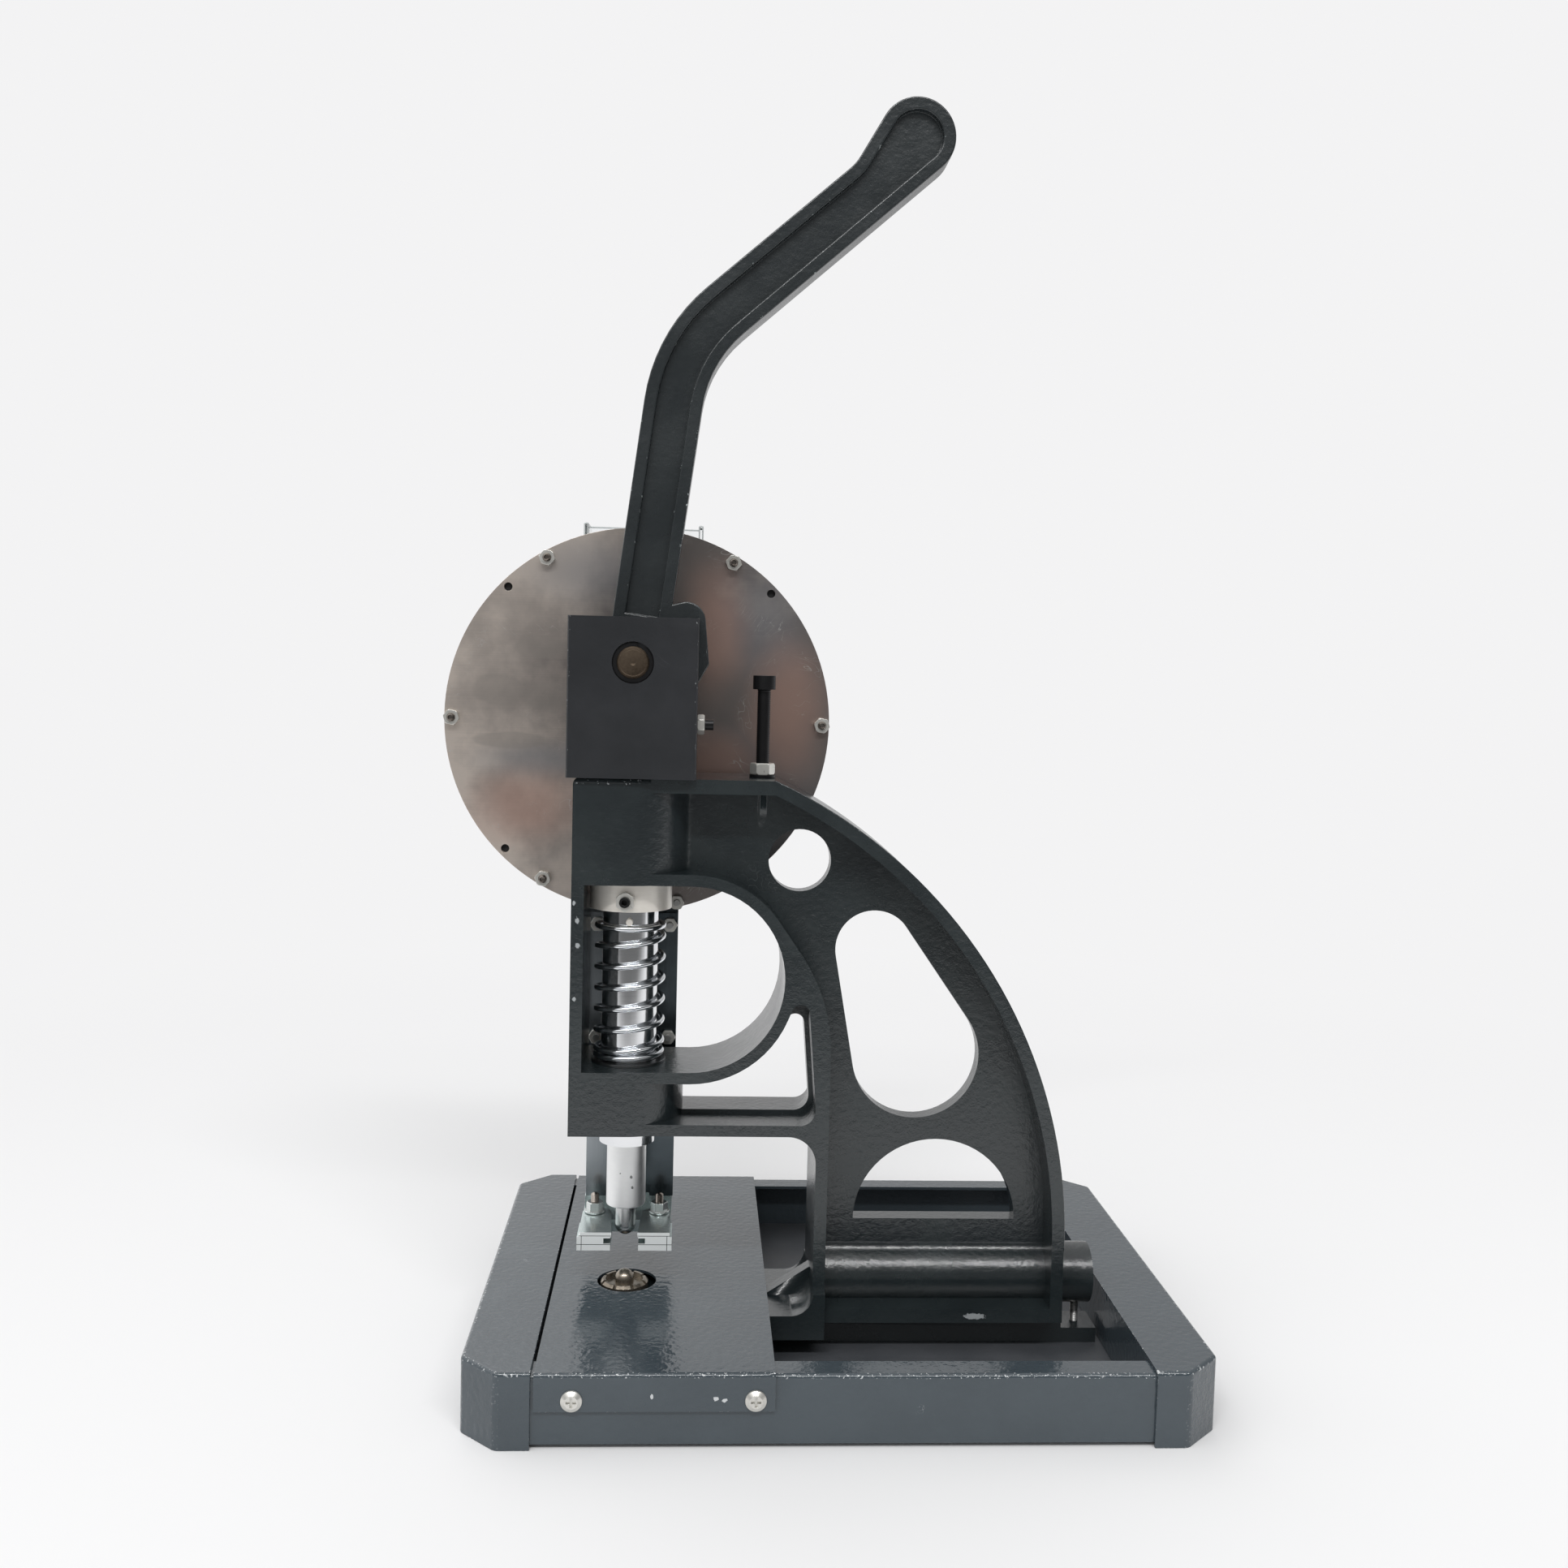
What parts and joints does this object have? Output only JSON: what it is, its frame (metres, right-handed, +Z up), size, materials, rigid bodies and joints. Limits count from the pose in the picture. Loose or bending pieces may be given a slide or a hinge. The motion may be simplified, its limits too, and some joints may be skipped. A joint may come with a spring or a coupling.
{
  "type": "hand lever eyelet press",
  "caption": "Hand-lever press that sets eyelets: arched cast frame on a sheet-metal base, sprung ram under a bent lever, and a round hopper behind the head feeding jaws under the punch.",
  "frame": {"origin": "middle of the whole machine's outline, on the floor it stands on; the base's own middle is 17.4 mm towards +X", "axes": "+X along the base, away from the die end; +Y away from the operator, towards the hopper; +Z up, parallel to the ram"},
  "size_m": [0.4348, 0.3152, 0.7195],
  "materials": {
    "base_paint": "smooth dark grey enamel",
    "floor_paint": "matt black paint",
    "casting_paint": "semi-gloss dark green-grey enamel",
    "head_paint": "semi-gloss dark grey enamel",
    "lever_paint": "gloss dark grey enamel",
    "zinc_steel": "zinc plated",
    "black_oxide": "black oxide",
    "pivot_steel": "worn steel",
    "plain_steel": "plain steel",
    "ram_chrome": "ground and plated",
    "spring_chrome": "bright wire",
    "collar_steel": "turned steel",
    "sleeve_steel": "satin ground",
    "die_steel": "turned tool steel",
    "chute_steel": "bluish zinc plate",
    "jaw_steel": "bluish zinc plate",
    "disc_steel": "brushed stainless steel",
    "clear_plastic": "clear plastic sheet",
    "rotor_plastic": "moulded",
    "knob_plastic": "moulded",
    "bracket_paint": "grey paint"
  },
  "bodies": {
    "frame": {"base_cap_left": "base_paint", "base_cap_right": "base_paint", "base_rail_front": "base_paint", "base_rail_back": "base_paint", "base_floor": "floor_paint", "table_plate": "base_paint", "table_screws": "zinc_steel", "bed_bolts": "black_oxide", "rear_screw": "plain_steel", "frame_casting": "casting_paint", "head_block": "head_paint", "head_lock_screw": "black_oxide", "head_lock_nut": "zinc_steel", "stop_screw": "black_oxide", "stop_nut": "zinc_steel", "stop_washer": "black_oxide", "pivot_pin": "pivot_steel", "pivot_rings": "black_oxide", "return_spring": "spring_chrome", "spring_seat": "black_oxide", "lower_die": "die_steel", "die_button": "die_steel", "chute_back": "chute_steel", "chute_rails": "chute_steel", "chute_lips": "chute_steel", "chute_screws": "plain_steel", "chute_nuts": "zinc_steel", "chute_spacer": "plain_steel", "jaw_base": "jaw_steel", "jaw_screws": "plain_steel", "jaw_nuts": "zinc_steel", "hopper_disc": "disc_steel", "hopper_drum": "disc_steel", "hopper_cover": "clear_plastic", "filler_box": "clear_plastic", "rim_screws": "plain_steel", "rim_nuts": "zinc_steel", "hopper_bracket": "bracket_paint", "bracket_screws": "plain_steel"},
    "lever": {"lever": "lever_paint", "crank_pin": "plain_steel"},
    "link": {"link": "plain_steel", "link_pin": "plain_steel"},
    "ram": {"ram": "ram_chrome", "shaft_collar": "collar_steel", "collar_screw": "black_oxide", "collar_nut": "zinc_steel", "spring_stop_pin": "collar_steel", "punch_sleeve": "sleeve_steel", "pilot_spring": "plain_steel"},
    "pilot": {"pilot_pin": "sleeve_steel"},
    "jaw_l": {"jaw_left": "jaw_steel"},
    "jaw_r": {"jaw_right": "jaw_steel"},
    "rotor": {"rotor": "rotor_plastic", "rotor_shaft": "plain_steel", "rotor_knob": "knob_plastic"}
  },
  "joints": [
    {"name": "lever_pull", "type": "hinge", "parent": "frame", "child": "lever", "pos_m": [-0.10257, -0.032, 0.402], "axis": [0, 1, 0], "range_deg": [0, 73]},
    {"name": "link_swing", "type": "hinge", "parent": "lever", "child": "link", "pos_m": [-0.07685, -0.032, 0.42103], "axis": [0, 1, 0], "range_deg": [-73, 0]},
    {"name": "ram_slide", "type": "slide", "parent": "frame", "child": "ram", "axis": [0, 0, -1], "range_m": [0, 0.0381], "stiffness_N_per_m": 3100, "springref_m": -0.029, "deforming": ["return_spring"]},
    {"name": "pilot_retract", "type": "slide", "parent": "ram", "child": "pilot", "axis": [0, 0, 1], "range_m": [0, 0.0173], "stiffness_N_per_m": 400, "springref_m": -0.006, "deforming": ["pilot_spring"]},
    {"name": "jaw_right_swing", "type": "hinge", "parent": "frame", "child": "jaw_r", "pos_m": [-0.08337, -0.0098, 0.073], "axis": [0, 0, 1], "range_deg": [0, 34], "stiffness_Nm_per_rad": 0.4, "springref_deg": -11.46},
    {"name": "jaw_left_swing", "type": "hinge", "parent": "frame", "child": "jaw_l", "pos_m": [-0.12177, -0.0098, 0.073], "axis": [0, 0, -1], "range_deg": [0, 34], "stiffness_Nm_per_rad": 0.4, "springref_deg": -11.46},
    {"name": "rotor_spin", "type": "hinge", "parent": "frame", "child": "rotor", "pos_m": [-0.10207, 0.03, 0.3672], "axis": [0, 1, 0], "continuous": true}
  ],
  "couplings": [
    {"joint": "link_swing", "follows": "lever_pull", "ratio": -1},
    {"joint": "ram_slide", "follows": "lever_pull", "m_per_rad": 0.02988},
    {"joint": "pilot_retract", "follows": "lever_pull", "m_per_rad": 0.013578},
    {"joint": "jaw_right_swing", "follows": "lever_pull", "ratio": 0.46575},
    {"joint": "jaw_left_swing", "follows": "lever_pull", "ratio": 0.46575}
  ]
}
